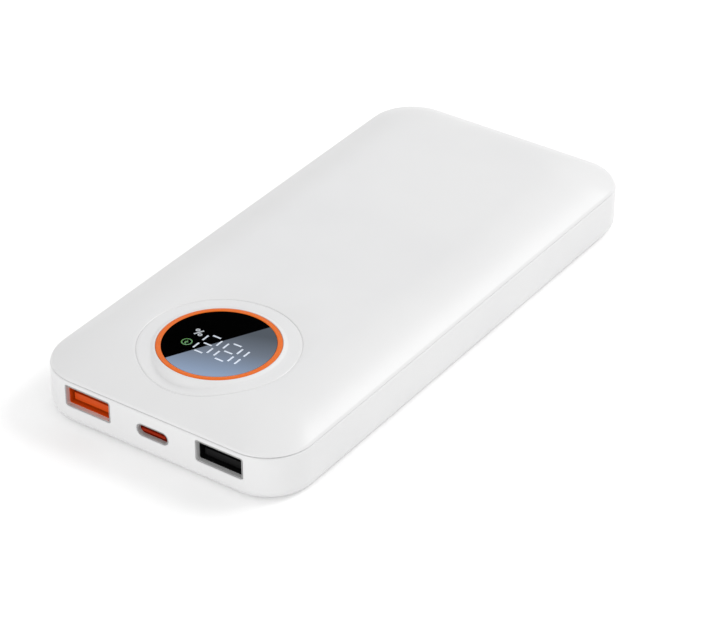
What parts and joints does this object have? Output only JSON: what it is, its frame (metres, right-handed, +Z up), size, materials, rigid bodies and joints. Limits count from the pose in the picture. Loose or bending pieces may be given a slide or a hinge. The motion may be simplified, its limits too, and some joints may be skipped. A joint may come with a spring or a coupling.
{
  "type": "power bank",
  "caption": "Flat white power bank with a crowned cover, a round black digit display in an orange ring and USB sockets in one end.",
  "frame": {"origin": "centre of the case's underside, at the surface it rests on", "axes": "+X across the case, +Y along the case away from the sockets, +Z up out of the display"},
  "size_m": [0.072, 0.153, 0.0179],
  "materials": {
    "white_case": "satin",
    "white_button": "satin",
    "orange_trim": "satin",
    "display_black": "gloss",
    "digit_light": "satin",
    "icon_grey": "satin",
    "icon_green": "satin",
    "white_inner": "matte",
    "led": "satin",
    "board_green": "satin",
    "screw_steel": "satin",
    "gold_contact": "satin",
    "black_plastic": "satin",
    "socket_shell": "satin",
    "orange_insulator": "satin",
    "nickel": "satin",
    "chip_black": "matte",
    "ceramic_tan": "satin",
    "capacitor_can": "satin",
    "ferrite_grey": "matte",
    "pouch_foil": "satin",
    "adhesive_pad": "matte",
    "foam": "matte",
    "insulating_paper": "matte"
  },
  "bodies": {
    "case": {"top_cover": "white_case", "bottom_shell": "white_case", "display_ring": "orange_trim", "display_lens": "display_black", "digit_windows": "digit_light", "percent_window": "icon_grey", "charge_window": "icon_green", "light_wells": "white_inner", "display_lights": "led", "display_board": "board_green", "display_screws": "screw_steel", "header_pins": "gold_contact", "header_strip": "black_plastic", "board_screws": "screw_steel", "usb_a_fast_shell": "socket_shell", "usb_a_fast_insulator": "orange_insulator", "usb_a_fast_contacts": "gold_contact", "usb_c_shell": "socket_shell", "usb_c_insulator": "orange_insulator", "usb_c_contacts": "gold_contact", "usb_a_standard_shell": "socket_shell", "usb_a_standard_insulator": "black_plastic", "usb_a_standard_contacts": "gold_contact", "switch_body": "black_plastic", "snap_dome": "nickel", "switch_frame": "nickel", "main_board": "board_green", "charge_controller": "chip_black", "protocol_chip": "chip_black", "temperature_sensor": "chip_black", "power_transistors": "chip_black", "ceramic_capacitors": "ceramic_tan", "polymer_capacitors": "capacitor_can", "boost_inductor": "ferrite_grey", "lower_cell": "pouch_foil", "upper_cell": "pouch_foil", "cell_tabs": "nickel", "positive_strip": "nickel", "negative_strip": "nickel", "lower_cell_pad": "adhesive_pad", "middle_cell_pad": "adhesive_pad", "foam_pad": "foam", "insulating_sheet": "insulating_paper"},
    "button": {"button_cap": "white_button"},
    "plunger": {"switch_plunger": "white_inner"}
  },
  "joints": [
    {"name": "button_press", "type": "slide", "parent": "case", "child": "button", "axis": [1, 0, 0], "range_m": [0, 0.0003], "stiffness_N_per_m": 4000},
    {"name": "plunger_press", "type": "slide", "parent": "case", "child": "plunger", "axis": [1, 0, 0], "range_m": [0, 0.0003]}
  ],
  "couplings": [
    {"joint": "plunger_press", "follows": "button_press", "ratio": 1}
  ]
}
